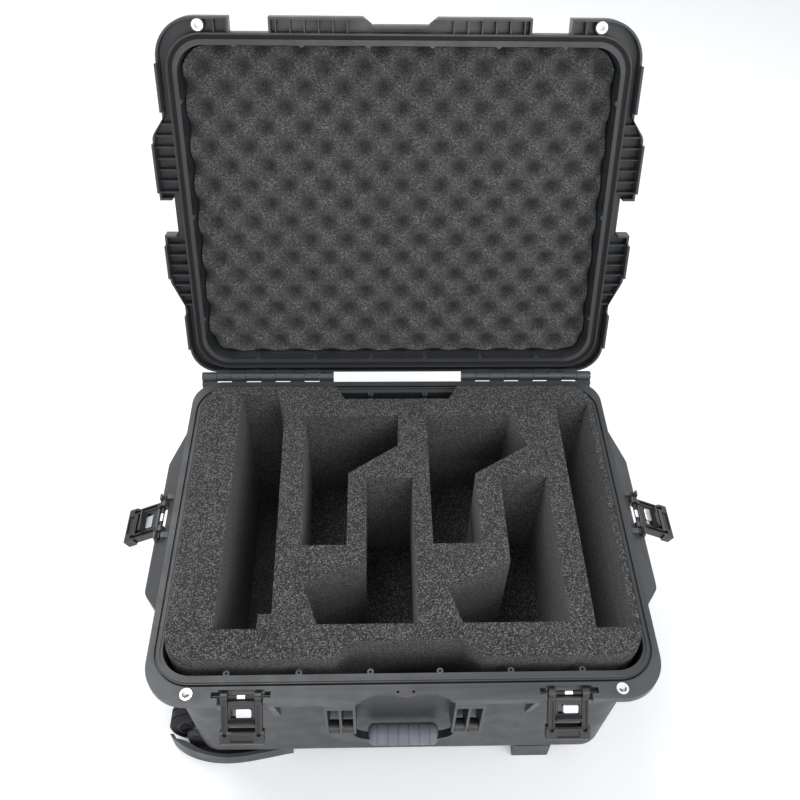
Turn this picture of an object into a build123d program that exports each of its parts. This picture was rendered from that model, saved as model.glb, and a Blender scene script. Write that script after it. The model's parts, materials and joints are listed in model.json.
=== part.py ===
from build123d import *
import os
from math import cos, radians, sin, tan

# A wheeled hard case, standing open on its bottom, in millimetres.
# X is to the right, Y to the rear and Z up. The origin is on the ground, under the middle skid.
# The lid and the latches are modelled closed or level, then turned to where they rest.

# Tub
rim_height = 290.0
wall = 4.0
floor_gap = 24.0
floor_thickness = 4.0
tub_draft = 2.3
cavity_half_x = 282.0
cavity_front = -219.0
cavity_back = 214.0
cavity_corner = 36.0
floor_fillet = 14.0

# Tub flange
flange_side = 13.0
flange_front = 29.0
flange_back = 18.0
flange_front_corner = 50.0
flange_back_corner = 40.0
flange_plate = 7.0
flange_skirt = 11.0
skirt_wall = 3.5
bulge_reach = 20.0
bulge_front = -135.0
bulge_back = 138.0
bulge_front_taper = 28.0
bulge_back_taper = 45.0
bulge_fall = 12.5
bulge_skirt = 17.0
bulge_corner = 18.0
flange_rib_pitch = 46.0
flange_rib = 3.0

# Seal
groove_offset_side = 8.2
groove_offset_front = 12.0
groove_width = 2.6
groove_depth = 4.0
ridge_inset = 4.2
ridge_width = 2.0
ridge_height = 1.2
gasket_width = 4.6
gasket_gap = 0.4
gasket_height = 4.4
tongue_width = 1.2
tongue_depth = 2.2

# Lid
lid_height = 81.0
lid_draft = 4.0
lid_inset = 4.0
lid_front_inset = 1.4
lid_corner = 34.0
lid_fillet = 14.0
lid_pad_height = 3.0
lid_pad_gap = 26.0
lid_pad_margin = 44.0
lid_flange_height = 18.0
lid_flange_plate = 3.0
lid_skirt_wall = 3.0
parting_gap = 0.5
lid_core_front = 13.0
lid_core_side = 10.0
lid_reach_side = 4.0
lid_back_inset = 0.4
lid_side_skirt = 11.0
lid_open_angle = 109.0
centre_dip_half = 35.0
centre_dip_depth = 9.0
long_bump_inner = 54.0
lid_rib = 1.8
lid_rib_pitch = 17.5
side_rib_pitch = 14.7

# Hinge
hinge_standoff = 8.4
hinge_rise = 2.7
knuckle_radius = 7.0
knuckle_inner = 95.0
knuckle_end_inset = 9.0
knuckle_count = 9
knuckle_gap = 0.6
hinge_pin_radius = 2.5
pin_head_radius = 3.6
pin_head_length = 2.0
running_clearance = 0.05

# Latches
front_latch_x = 186.0
side_latch_y = 1.0
latch_standoff = 10.0
latch_drop = 6.0
latch_arm_half = 23.2
latch_gap_clearance = 1.1
notch_clearance = 2.8
latch_notch_depth = 6.0
pin_pocket = 7.5
front_latch_hang = 48.0
side_latch_hang = 27.0
latch_pin_radius = 2.5
latch_barrel = 5.6
latch_length = 56.0
latch_window_half = 15.4
latch_bar_start = 40.0
latch_bar_half = 25.0
latch_back = 6.5
latch_face = 3.0
claw_half = 14.8
claw_pin_reach = 8.0
claw_pin_drop = -1.6
claw_pin_radius = 1.6
claw_eye = 4.0
claw_thickness = 5.0
claw_length = 32.5
claw_hook_start = 27.6
claw_hook_rise = 9.4
slide_half = 9.2
slide_window_half = 12.2
slide_start = 13.6
slide_end = 24.4
slide_travel = 5.0
slide_clearance = 0.35
cheek_edge = 3.6
gusset_drop = 114.0

# Padlock eyelets
eyelet_side_inset = 38.5
eyelet_front_inset = 11.6
eyelet_bore = 4.6
eyelet_outer = 5.8
eyelet_flange = 7.0
eyelet_flange_thickness = 1.0

# Carry handles
handle_pin_depth = 107.0
handle_standoff = 20.0
handle_drop = 36.0
handle_set_back = 3.5
grip_radius = 13.5
grip_length = 88.0
grip_end_fillet = 8.0
grip_groove = 0.9
grip_groove_count = 6
grip_groove_pitch = 13.0
handle_core = 10.0
core_clearance = 0.1
arm_bite = 6.0
arm_drop = 3.0
lug_inner = 58.0
lug_rib = 3.0
lug_slot = 13.6
lug_slot_depth = 40.0
lug_radius = 10.0
lug_nose = 7.0
lug_back = 2.0
ring_radius = 8.6
ring_clearance = 0.5
handle_pin_radius = 2.5
recess_half = 57.0
recess_depth = 10.0
recess_corner = 22.0

# Vent cap
vent_half = 13.5
vent_reach = 5.0
vent_thickness = 5.0
vent_hole = 1.6
vent_hole_x = 9.0

# Screw bosses inside the rim, for a panel frame
boss_radius = 3.8
boss_hole = 1.5
boss_length = 18.0
boss_wall = 0.7
boss_embed = 1.5
boss_places = (40.0, 122.0, 205.0)
side_boss_places = (-150.0, 0.0, 150.0)

# Foam, cut from plies; the pockets end at the joints between plies
foam_clearance = 1.0
foam_front_gap = 12.0
foam_proud = 16.0
foam_lid_gap = 0.7
foam_ply = 34.0
relief_plies = 3
pocket_plies = 5
foam_pad = 20.0
foam_layer_gap = 0.3
foam_corner = 34.0
foam_well_clearance = 4.0

# Pocket for a console on edge, at the left, and a slot at the right
console_side_margin = 58.0
console_front_margin = 49.0
console_back_margin = 18.0
console_width = 51.0
console_ledge = 16.0
console_ledge_start = 19.0
console_lean = 5.0
console_bevel = 26.0
slot_side_margin = 15.0
slot_width = 41.0
slot_front_margin = 46.0
slot_back_margin = 41.0

# Microphone pockets: place of the outer corner and turn about Z, then the width of the end, the width
# and distance of the shoulder, the distance of the waist, and how far the narrow end leans
mic_neck = 62.0
mic_length = 212.0
mic_pockets = {
    "a": ((-132.0, 155.0, 0.0), 131.0, 130.0, 53.0, 100.0, 5.0),
    "b": ((16.0, -165.0, 180.0), 119.0, 138.0, 54.0, 86.0, 0.0),
    "c": ((39.0, 156.0, 0.0), 117.0, 139.0, 55.0, 103.0, 0.0),
    "d": ((196.0, -165.0, 180.0), 127.0, 142.0, 47.0, 83.0, 0.0),
}

# Finger reliefs: middle in X, half width at the mouth and at the bottom, and depth
front_relief = (3.5, 87.0, 65.5, 21.0)
back_relief = (-2.0, 90.0, 74.5, 25.5)

# Egg-crate face of the lid foam
crate_pitch = 51.0
crate_row = 25.7
crate_start = (3.0, 29.0)
crate_depth = 20.0
crate_taper = 35.0
crate_web = 2.0

# Wheels
wheel_inset = 6.0
wheel_setback = 51.0
wheel_height = 40.0
wheel_radius = 38.0
wheel_width = 28.0
tyre_depth = 9.0
tyre_chamfer = 3.0
tread_offset = 6.0
tread_depth = 1.5
hub_inset = 2.0
hub_web = 10.0
hub_wall = 4.0
hub_spoke = 3.0
hub_spokes = 6
axle_radius = 4.0
bush_radius = 7.0
wheel_clearance = 4.0
well_wall = 4.0
fender_wall = 5.0
fender_swell = 46.0
fender_overhang = 31.0
fender_length = 130.0
fender_height = 42.0
fender_gap = 0.4
fender_width = 26.0
fender_step = 9.0
fender_floor = 4.0
axle_boss = 13.0

# Underside
skid_width = 30.0
skid_wall = 3.0
skid_pitch = 150.0
skid_wheel_gap = 55.0
skid_end_inset = 24.0
foot_end_inset = 80.0
foot_length = 50.0
foot_depth = 28.0
foot_front_inset = 10.0
foot_rise = 12.0

# Trolley handle
trolley_height = 13.0
outer_tube = (26.0, 18.0)
tube_wall = 1.4
tube_clearance = 0.4
tube_corner = 4.0
tube_wheel_gap = 65.0
tube_end_inset = 16.0
tube_stagger = 10.0
middle_tube_reach = 8.0
trolley_grip_gap = 6.0
trolley_grip_width = 22.0
trolley_grip_height = 22.0
trolley_grip_half = 104.0
button_half = 24.0
button_width = 10.0
button_rise = 4.5
button_travel = 4.0
button_body = 6.0
button_clearance = 0.4
plug_length = 14.0
plug_clearance = 0.1
bracket_length = 12.0
bracket_end_gap = 30.0
bracket_lug = 8.0
bracket_clearance = 1.0

wall_out_x = cavity_half_x + wall
wall_front = cavity_front - wall
wall_back = cavity_back + wall
rim_half_x = wall_out_x + flange_side
rim_front = wall_front - flange_front
rim_back = wall_back + flange_back
hinge_y = rim_back + hinge_standoff
hinge_z = rim_height + hinge_rise
lid_base = rim_height + parting_gap
lid_flange_top = rim_height + lid_flange_height
lid_half_x = rim_half_x + lid_reach_side
lid_front = cavity_front + lid_front_inset
lid_lip_front = cavity_front - lid_core_front
latch_pin_z = rim_height - latch_drop
notch_half = latch_arm_half + notch_clearance
gap_half = latch_arm_half + latch_gap_clearance
lug_outer = lug_inner + 3 * lug_rib + 2 * lug_slot
knuckle_outer = rim_half_x - knuckle_end_inset
eyelet_x = wall_out_x - eyelet_side_inset
eyelet_y = rim_front + eyelet_front_inset
handle_pin_height = rim_height - handle_pin_depth
foam_top = rim_height + foam_proud
foam_low = floor_gap + floor_thickness + foam_pad + foam_layer_gap
foam_front = cavity_front + foam_front_gap
foam_back = cavity_back - foam_clearance
relief_floor = foam_top - relief_plies * foam_ply
pocket_floor = foam_top - pocket_plies * foam_ply
lid_foam_face = lid_flange_top
wheel_x = wheel_inset - wall_out_x
wheel_y = -wall_front - wheel_setback
fender_reach = wheel_y + fender_swell
fender_tip = -wall_out_x - fender_overhang
fender_tail = wheel_x + fender_length
skid_left = wheel_x + skid_wheel_gap
skid_right = wall_out_x - skid_end_inset
trolley_y = skid_pitch / 2
outer_tube_left = wheel_x + tube_wheel_gap
outer_tube_right = wall_out_x - tube_end_inset
middle_tube_left = outer_tube_left + tube_stagger
inner_tube_left = middle_tube_left + tube_stagger
trolley_grip_left = wall_out_x + trolley_grip_gap
beyond = 2 * wall_out_x


def plate(half_x, front, back, corner_front, corner_back):
    """Plan outline of a rounded rectangle, as wide on both sides of X = 0."""
    outline = Pos(0, (front + back) / 2) * Rectangle(2 * half_x, back - front)
    outline = fillet(outline.vertices().group_by(Axis.Y)[0], corner_front)
    return fillet(outline.vertices().group_by(Axis.Y)[-1], corner_back)


def block(x0, x1, y0, y1, z0, z1):
    """Box between two corners."""
    middle = Pos((x0 + x1) / 2, (y0 + y1) / 2, (z0 + z1) / 2)
    return middle * Box(abs(x1 - x0), abs(y1 - y0), abs(z1 - z0))


def rod(start, end, radius, axis="X", across=(0, 0)):
    """Round bar from start to end along one axis; across gives its other two coordinates."""
    middle = (start + end) / 2
    length = abs(end - start)
    if axis == "X":
        return Pos(middle, across[0], across[1]) * Rot(0, 90, 0) * Cylinder(radius, length)
    if axis == "Y":
        return Pos(across[0], middle, across[1]) * Rot(90, 0, 0) * Cylinder(radius, length)
    return Pos(across[0], across[1], middle) * Cylinder(radius, length)


def side_profile(points, start, end):
    """Outline of (Y, Z) points, drawn out along X from start to end."""
    face = make_face(Polyline([(0, y, z) for y, z in points], close=True))
    return Pos(start, 0, 0) * extrude(face, amount=end - start, dir=(1, 0, 0))


def end_profile(points, start, end):
    """Outline of (X, Z) points, drawn out along Y from start to end."""
    face = make_face(Polyline([(x, 0, z) for x, z in points], close=True))
    return Pos(0, start, 0) * extrude(face, amount=end - start, dir=(0, 1, 0))


def both_sides(shape):
    """The shape and its mirror image across X = 0."""
    return shape + mirror(shape, about=Plane.YZ)


def solid_group(shapes):
    """Separate solids that share one node."""
    return Compound(children=[solid for shape in shapes for solid in shape.solids()])


def cavity(clearance):
    """The tub's inside, smaller all round by the clearance."""
    outline = plate(
        cavity_half_x - clearance,
        cavity_front + clearance,
        cavity_back - clearance,
        cavity_corner - clearance,
        cavity_corner - clearance,
    )
    depth = rim_height - floor_gap - floor_thickness - clearance
    body = extrude(Pos(0, 0, rim_height) * outline, amount=depth, dir=(0, 0, -1), taper=tub_draft)
    return fillet(body.edges().group_by(Axis.Z)[0], floor_fillet - clearance)


def offset_loop(half_x, front, back, corner, width, z0, z1):
    """A thin upright band that follows a rounded rectangle, centred on its line."""
    half = width / 2
    outer = plate(half_x + half, front - half, back + half, corner + half, corner + half)
    inner = plate(half_x - half, front + half, back - half, corner - half, corner - half)
    return extrude(Pos(0, 0, z0) * (outer - inner), amount=z1 - z0)


groove_line = (
    cavity_half_x + groove_offset_side,
    cavity_front - groove_offset_front,
    cavity_back + groove_offset_front,
    cavity_corner + groove_offset_side,
)
ridge_line = (
    groove_line[0] - ridge_inset,
    groove_line[1] + ridge_inset,
    groove_line[2] - ridge_inset,
    groove_line[3] - ridge_inset,
)


def bulge_outline(reach):
    """Plan of the swelling on each side of the rim, for the side latch and handle."""
    outer = rim_half_x + reach
    inner = wall_out_x
    points = [
        (inner, bulge_front),
        (rim_half_x, bulge_front),
        (outer, bulge_front + bulge_front_taper),
        (outer, bulge_back - bulge_back_taper),
        (rim_half_x, bulge_back),
        (inner, bulge_back),
    ]
    outline = make_face(Polyline(points, close=True))
    return fillet(outline.vertices().group_by(Axis.X)[-1], bulge_corner)


def side_bulge():
    """Right-hand bulge: a sloping top plate with a skirt and ribs below."""
    outer = rim_half_x + bulge_reach
    low = rim_height - bulge_skirt
    fall = rim_height - bulge_fall
    under = flange_plate
    plan = extrude(Pos(0, 0, low) * bulge_outline(bulge_reach), amount=rim_height - low)
    slope = end_profile(
        [(rim_half_x, rim_height), (outer, fall), (outer, rim_height)], bulge_front, bulge_back
    )
    inner_plan = extrude(
        Pos(0, 0, low) * bulge_outline(bulge_reach - skirt_wall), amount=rim_height - low
    )
    hollow = inner_plan & end_profile(
        [
            (wall_out_x, low),
            (wall_out_x, rim_height - under),
            (rim_half_x, rim_height - under),
            (outer, fall - under / 2),
            (outer, low),
        ],
        bulge_front + skirt_wall,
        bulge_back - skirt_wall,
    )
    shape = plan - slope - hollow
    rib_line = bulge_front + flange_rib_pitch
    while rib_line < bulge_back - flange_rib_pitch / 2:
        start, end = rib_line, rib_line + flange_rib
        rib = block(wall_out_x - wall / 2, outer - skirt_wall, start, end, low, rim_height)
        shape += (rib & plan) - slope
        rib_line += flange_rib_pitch
    return shape


def latch_mounts():
    """Each latch's heading about Z, its pivot and how far it hangs below level."""
    front_y = lid_lip_front - latch_standoff
    side_x = lid_half_x + latch_standoff
    return {
        "front_left": (180.0, (-front_latch_x, front_y), front_latch_hang),
        "front_right": (180.0, (front_latch_x, front_y), front_latch_hang),
        "side_left": (90.0, (-side_x, side_latch_y), side_latch_hang),
        "side_right": (-90.0, (side_x, side_latch_y), side_latch_hang),
    }


def at_latch(name, hang=True):
    """Place of a latch part that is drawn level: Y outward, Z up, X along its pin."""
    heading, (x, y), angle = latch_mounts()[name]
    return Pos(x, y, latch_pin_z) * Rot(0, 0, heading) * Rot(-angle if hang else 0, 0, 0)


def latch_notch(name):
    """Notch through the flange for one latch, with the saddles for its pin."""
    reach = 60.0
    notch = block(-notch_half, notch_half, -latch_notch_depth, reach, -reach, latch_drop + 1)
    saddle_half = notch_half + pin_pocket
    room = latch_pin_radius + 1
    pocket = block(-saddle_half, saddle_half, -room, room, 0, latch_drop + 1)
    seat = rod(-saddle_half, saddle_half, latch_pin_radius + running_clearance)
    return at_latch(name, hang=False) * (notch + pocket + seat)


def latch_cheeks(name):
    """Ribs below the flange on each side of a latch; they carry its pin."""
    x, y = latch_mounts()[name][1]
    inward = (wall_front - y if "front" in name else abs(x) - wall_out_x) + wall
    edge = latch_pin_radius + cheek_edge
    points = [
        (-inward, latch_drop - flange_plate / 2),
        (-edge, latch_drop),
        (edge, latch_drop),
        (edge, latch_drop - flange_skirt),
        (-inward, -gusset_drop),
    ]
    cheek = side_profile(points, notch_half, notch_half + pin_pocket)
    return at_latch(name, hang=False) * both_sides(cheek)


def handle_places():
    """Each handle's heading about Z and the wall that it hangs on."""
    side_wall = wall_out_x - (rim_height - handle_pin_height) * tan(radians(tub_draft))
    front_wall = wall_front + (rim_height - handle_pin_height) * tan(radians(tub_draft))
    return {
        "front": (180.0, (0.0, front_wall)),
        "left": (90.0, (-side_wall, side_latch_y)),
        "right": (-90.0, (side_wall, side_latch_y)),
    }


def at_handle(name):
    """Place of a handle part drawn with Y outward from the wall and Z = 0 at its pins."""
    heading, (x, y) = handle_places()[name]
    return Pos(x, y, handle_pin_height) * Rot(0, 0, heading)


def handle_lugs():
    """Two blocks on the wall, each with three ribs and two slots, drawn at one handle."""
    depth = handle_standoff + lug_nose
    top = handle_pin_depth - lug_slot_depth
    rise = rim_height - flange_plate - handle_pin_height
    low = -lug_radius
    profile = [
        (-wall, rise),
        (depth - 4, rise),
        (depth, rise - 8),
        (depth, low * 0.6),
        (handle_standoff + lug_radius * 0.3, low),
        (handle_standoff - lug_radius, low),
        (-wall, low - 12),
    ]
    lug = side_profile(profile, lug_inner, lug_outer)
    for index in range(2):
        start = lug_inner + lug_rib + index * (lug_rib + lug_slot)
        lug -= block(start, start + lug_slot, lug_back, depth + 1, low - 13, top)
    bore = handle_pin_radius + running_clearance
    lug -= rod(lug_inner - 1, lug_outer + 1, bore, "X", (handle_standoff, 0))
    return both_sides(lug)


def handle_frame():
    """Forked arms, curving in to a core bar that runs through the grip."""
    frame = None
    for index in range(2):
        start = lug_inner + lug_rib + index * (lug_rib + lug_slot) + ring_clearance
        end = start + lug_slot - 2 * ring_clearance
        ring = rod(start, end, ring_radius, "X", (handle_standoff, 0))
        shank = block(start, end, handle_standoff - 5, handle_standoff + 5, -ring_radius - 6, 0)
        piece = ring + shank
        frame = piece if frame is None else frame + piece
    inner_top = lug_inner + lug_rib + ring_clearance
    outer_top = lug_outer - lug_rib - ring_clearance
    grip_end = grip_length / 2
    arm_end = grip_end - arm_bite
    low = -handle_drop
    half = handle_core / 2
    outline = make_face(
        [
            Line((inner_top, -lug_radius - 1.5), (outer_top, -lug_radius - 1.5)),
            Spline(
                [(outer_top, -lug_radius - 1.5), (outer_top - 12, low + 6), (arm_end, low - half - arm_drop)],
                tangents=[(0, -1), (-1, -0.12)],
            ),
            Line((arm_end, low - half - arm_drop), (arm_end, low + half)),
            Spline(
                [(arm_end, low + half), (inner_top - 4, -lug_radius - 12), (inner_top, -lug_radius - 1.5)],
                tangents=[(1, 0.1), (0.1, 1)],
            ),
        ]
    )
    arm = extrude(Pos(0, handle_standoff + half, 0) * Rot(90, 0, 0) * outline, amount=handle_core)
    frame += arm
    bore = handle_pin_radius + running_clearance
    frame -= rod(inner_top - 5, outer_top + 5, bore, "X", (handle_standoff, 0))
    frame = both_sides(frame)
    depth = handle_standoff - handle_set_back
    core_y = (depth - half, depth + half)
    return frame + block(-grip_end, grip_end, core_y[0], core_y[1], low - half, low + half)


def handle_grip():
    """Barrel-shaped soft grip, with shallow grooves, moulded round the core bar."""
    grip = rod(-grip_length / 2, grip_length / 2, grip_radius)
    grip = fillet(grip.edges(), grip_end_fillet)
    first = -grip_groove_pitch * (grip_groove_count - 1) / 2
    for index in range(grip_groove_count):
        x = first + index * grip_groove_pitch
        ring = rod(x - 0.6, x + 0.6, grip_radius + 1) - rod(x - 1, x + 1, grip_radius - grip_groove)
        grip -= ring
    half = handle_core / 2 + core_clearance
    grip -= block(-grip_length, grip_length, -half, half, -half, half)
    arm_low = handle_core / 2 + arm_drop + core_clearance
    for side in (-1, 1):
        end = side * grip_length / 2
        inner = end - side * (arm_bite + core_clearance)
        grip -= block(inner, end + side, -half, half + handle_set_back, -arm_low, half + 2)
    return Pos(0, handle_standoff - handle_set_back, -handle_drop) * grip


def handle_pins():
    """One pin through each lug."""
    pin = rod(lug_inner, lug_outer, handle_pin_radius, "X", (handle_standoff, 0))
    return [pin, mirror(pin, about=Plane.YZ)]


def knuckle_spans(parity):
    """X ranges of every second hinge knuckle on the right side."""
    pitch = (knuckle_outer - knuckle_inner) / knuckle_count
    spans = []
    for index in range(parity, knuckle_count, 2):
        start = knuckle_inner + index * pitch + knuckle_gap / 2
        spans.append((start, start + pitch - knuckle_gap))
    return spans


def knuckles(parity, web_points):
    """Hinge knuckles on both sides, each with its web to the shell."""
    shape = None
    for start, end in knuckle_spans(parity):
        barrel = rod(start, end, knuckle_radius, "X", (hinge_y, hinge_z))
        piece = barrel + side_profile(web_points, start, end)
        shape = piece if shape is None else shape + piece
    bore_radius = hinge_pin_radius + running_clearance
    bore = rod(knuckle_inner - 1, knuckle_outer + 1, bore_radius, "X", (hinge_y, hinge_z))
    return both_sides(shape - bore)


def hinge_pins():
    """Two long pins, each with a head outside its last knuckle."""
    tip = knuckle_outer + pin_head_length
    pin = rod(knuckle_inner, tip, hinge_pin_radius, "X", (hinge_y, hinge_z))
    head = rod(knuckle_outer, tip, pin_head_radius, "X", (hinge_y, hinge_z))
    return [pin + head, mirror(pin + head, about=Plane.YZ)]


def flange_ribs():
    """Cross ribs under the front flange, clear of the latches and the handle recess."""
    low = rim_height - flange_skirt
    ribs = None
    for x in (lug_outer + 12, lug_outer + 36, front_latch_x + notch_half + 26):
        rib = block(x, x + flange_rib, rim_front + skirt_wall, wall_front, low, rim_height - flange_plate)
        ribs = rib if ribs is None else ribs + rib
    return both_sides(ribs)


def wheel_well(side, grow):
    """Round-topped wheel space at a left corner; side is -1 in front and 1 at the rear."""
    half = wheel_width / 2 + wheel_clearance + grow
    radius = wheel_radius + wheel_clearance + grow
    start, end = side * wheel_y - half, side * wheel_y + half
    arch = rod(start, end, radius, "Y", (wheel_x, wheel_height))
    return arch + block(wheel_x - 2 * radius, wheel_x + radius, start, end, -1, wheel_height)


def wheel_ear(side):
    """Ear on the inner side of a wheel well, which holds the axle's inner end."""
    inner = wheel_y - wheel_width / 2 - wheel_clearance
    start, end = sorted((side * inner, side * (inner - well_wall)))
    ear = rod(start, end, axle_boss, "Y", (wheel_x, wheel_height))
    low, high = wheel_height - axle_boss, wheel_height + axle_boss
    return ear + block(wheel_x, wheel_x + axle_boss, start, end, low, high)


def base_shell():
    """Tub with its flange, bulges, latch and handle mounts, hinge knuckles and skids."""
    outline = plate(wall_out_x, wall_front, wall_back, cavity_corner + wall, cavity_corner + wall)
    tub_depth = rim_height - floor_gap
    tub = extrude(Pos(0, 0, rim_height) * outline, amount=tub_depth, dir=(0, 0, -1), taper=tub_draft)
    tub = fillet(tub.edges().group_by(Axis.Z)[0], floor_fillet + wall)

    rim = plate(rim_half_x, rim_front, rim_back, flange_front_corner, flange_back_corner)
    rim_inner = plate(
        rim_half_x - skirt_wall,
        rim_front + skirt_wall,
        rim_back - skirt_wall,
        flange_front_corner - skirt_wall,
        flange_back_corner - skirt_wall,
    )
    low = rim_height - flange_skirt
    flange = extrude(Pos(0, 0, low) * rim, amount=flange_skirt)
    flange -= extrude(Pos(0, 0, low) * rim_inner, amount=flange_skirt - flange_plate)
    shell = tub + flange + flange_ribs() + both_sides(side_bulge())

    for name in latch_mounts():
        shell += latch_cheeks(name)
    for name in handle_places():
        shell += at_handle(name) * handle_lugs()

    web = [
        (rim_back - skirt_wall, rim_height - flange_skirt),
        (rim_back, rim_height - flange_skirt),
        (hinge_y, hinge_z - knuckle_radius),
        (hinge_y, rim_height - 0.2),
        (rim_back - skirt_wall, rim_height - 0.2),
    ]
    shell += knuckles(0, web)
    shell += underside()
    shell -= cavity(0)
    for side in (-1, 1):
        shell += wheel_well(side, well_wall) & tub
        shell -= wheel_well(side, 0)
        shell += wheel_ear(side)
    shell -= rod(-wheel_y, wheel_y, axle_radius + running_clearance, "Y", (wheel_x, wheel_height))
    shell += boss_row(boss_places, cavity_front, 1) + boss_row(boss_places[:1], cavity_back, -1)

    for name in latch_mounts():
        shell -= latch_notch(name)
    shell -= handle_recess()
    shell -= vent_cap(running_clearance)
    shell += offset_loop(*ridge_line, ridge_width, rim_height - 1, rim_height + ridge_height)
    shell -= offset_loop(*groove_line, groove_width, rim_height - groove_depth, rim_height + 2)
    for x in (-eyelet_x, eyelet_x):
        shell += base_eyelet_boss(x)
        shell -= rod(low - 1, rim_height + 1, eyelet_outer + running_clearance, "Z", (x, eyelet_y))
        seat = rim_height - eyelet_flange_thickness
        shell -= rod(seat, rim_height + 1, eyelet_flange + running_clearance, "Z", (x, eyelet_y))
    return shell


def base_eyelet_boss(x):
    """Solid post under the flange, round a padlock eyelet."""
    low = rim_height - flange_skirt
    return rod(low, rim_height - flange_plate, eyelet_flange + 1.5, "Z", (x, eyelet_y))


def boss_row(places, wall_y, inward):
    """Screw bosses on the inside of a long wall, just below the rim."""
    row = None
    for x in places:
        y = wall_y + inward * (boss_hole + boss_wall)
        top = rim_height
        post = rod(top - boss_length, top, boss_radius, "Z", (x, y))
        post -= rod(top - boss_length / 2, top + 1, boss_hole, "Z", (x, y))
        keep = block(x - 9, x + 9, wall_y, wall_y + inward * 12, top - boss_length, top)
        web = block(x - 2.6, x + 2.6, wall_y - inward * wall / 2, y, top - boss_length, top - 4)
        piece = (post & keep) + (web - rod(top - boss_length, top + 1, boss_hole, "Z", (x, y)))
        row = piece if row is None else row + piece
    return both_sides(row)


def handle_recess():
    """Arched cut in the front edge of the flange, above the front handle."""
    edge = rim_front - 5
    deep = rim_front + recess_depth
    points = [
        (-recess_half, edge),
        (-recess_half, rim_front + 1),
        (-recess_half + recess_corner, deep),
        (recess_half - recess_corner, deep),
        (recess_half, rim_front + 1),
        (recess_half, edge),
    ]
    outline = make_face(Polyline(points, close=True))
    return extrude(Pos(0, 0, rim_height - 2 * flange_skirt) * outline, amount=3 * flange_skirt)


def vent_cap(clearance):
    """Oval cap at the middle of the recess edge, level with the flange."""
    edge = rim_front + recess_depth
    oval = Pos(0, edge + 1.5) * Ellipse(vent_half + clearance, vent_reach + clearance)
    low = rim_height - vent_thickness - clearance
    cap = extrude(Pos(0, 0, low) * oval, amount=vent_thickness + 2 * clearance)
    if clearance:
        return cap
    for x in (-vent_hole_x, vent_hole_x):
        cap -= rod(rim_height - vent_thickness - 1, rim_height + 1, vent_hole, "Z", (x, edge + 1.0))
    return cap


def underside():
    """Three tubular skids and the moulded feet at the right-hand corners."""
    shape = None
    for y in (-skid_pitch, 0.0, skid_pitch):
        left = skid_left if y == 0 else skid_left + 10
        skid = block(left, skid_right, y - skid_width / 2, y + skid_width / 2, 0, floor_gap + 1)
        inner = skid_width / 2 - skid_wall
        skid -= block(left - 1, skid_right + 1, y - inner, y + inner, skid_wall, floor_gap)
        shape = skid if shape is None else shape + skid
    right = wall_out_x - foot_end_inset
    for wall_y, inward in ((wall_front, 1), (wall_back, -1)):
        outer = wall_y + inward * foot_front_inset
        inner = outer + inward * foot_depth
        shape += block(right - foot_length, right, outer, inner, 0, floor_gap + foot_rise)
    return shape


def lid_outline(wall_step):
    """Plan of the lid flange with its bumps, latch gaps and centre dip."""
    outer = plate(
        lid_half_x - wall_step,
        rim_front + 2 + wall_step,
        rim_back - lid_back_inset - wall_step,
        flange_front_corner - wall_step,
        flange_back_corner - wall_step,
    )
    bump = bulge_outline(bulge_reach - wall_step)
    sides = bump + mirror(bump, about=Plane.YZ)
    edge = rim_front - 5
    dip = rim_front + 2 + centre_dip_depth + wall_step
    points = [
        (-long_bump_inner - 1 + wall_step, edge),
        (-centre_dip_half + wall_step, dip),
        (centre_dip_half - wall_step, dip),
        (long_bump_inner + 1 - wall_step, edge),
    ]
    outline = outer + sides - make_face(Polyline(points, close=True))
    half = gap_half + wall_step
    for x in (-front_latch_x, front_latch_x):
        outline -= Pos(x, lid_lip_front - 30) * Rectangle(2 * half, 60)
    for x in (-lid_half_x - 30, lid_half_x + 30):
        outline -= Pos(x, side_latch_y) * Rectangle(60, 2 * half)
    return outline


def lid_core(width):
    """Plan of the lid's seal band, less the given width all round."""
    return plate(
        cavity_half_x + lid_core_side - width,
        lid_lip_front + width,
        cavity_back + lid_core_front - width,
        cavity_corner + lid_core_side - width,
        cavity_corner + lid_core_side - width,
    )


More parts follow.
